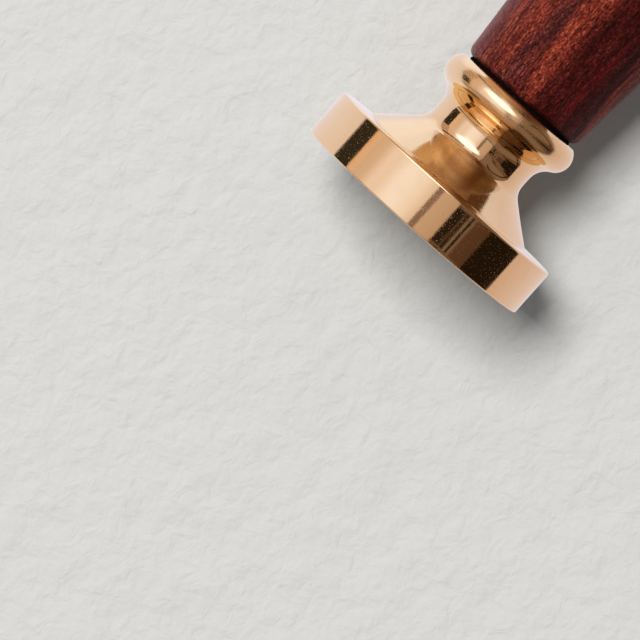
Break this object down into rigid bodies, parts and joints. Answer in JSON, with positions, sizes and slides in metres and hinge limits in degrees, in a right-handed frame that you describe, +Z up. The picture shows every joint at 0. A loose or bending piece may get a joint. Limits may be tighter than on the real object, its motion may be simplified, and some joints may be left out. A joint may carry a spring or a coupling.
{
  "type": "wax seal stamp",
  "caption": "Wax seal stamp: polished turned brass head with an engraved round die, screwed by a stud onto a turned, red stained and lacquered wooden handle.",
  "frame": {"origin": "centre of the engraved die face, on the plane that presses the wax", "axes": "+Z up the handle, along the axis of turning; +X and +Y across the die"},
  "size_m": [0.025, 0.025, 0.0899],
  "materials": {
    "polished_brass": "mirror polished, warm rose gold tone",
    "black_fibre": "matt black",
    "plated_steel": "zinc plated, rolled thread",
    "stained_wood": "red brown stain under clear gloss lacquer, open grain along the axis"
  },
  "bodies": {
    "head": {"seal_head": "polished_brass"},
    "washer": {"seating_washer": "black_fibre"},
    "handle": {"handle": "stained_wood", "hanger_bolt": "plated_steel"}
  },
  "joints": [
    {"name": "handle_turn", "type": "hinge", "parent": "head", "child": "washer", "pos_m": [0, 0, 0.01455], "axis": [0, 0, 1], "range_deg": [0, 3240]},
    {"name": "handle_lift", "type": "slide", "parent": "washer", "child": "handle", "axis": [0, 0, 1], "range_m": [0, 0.00901]}
  ],
  "couplings": [
    {"joint": "handle_lift", "follows": "handle_turn", "m_per_rad": 0.00015915}
  ]
}
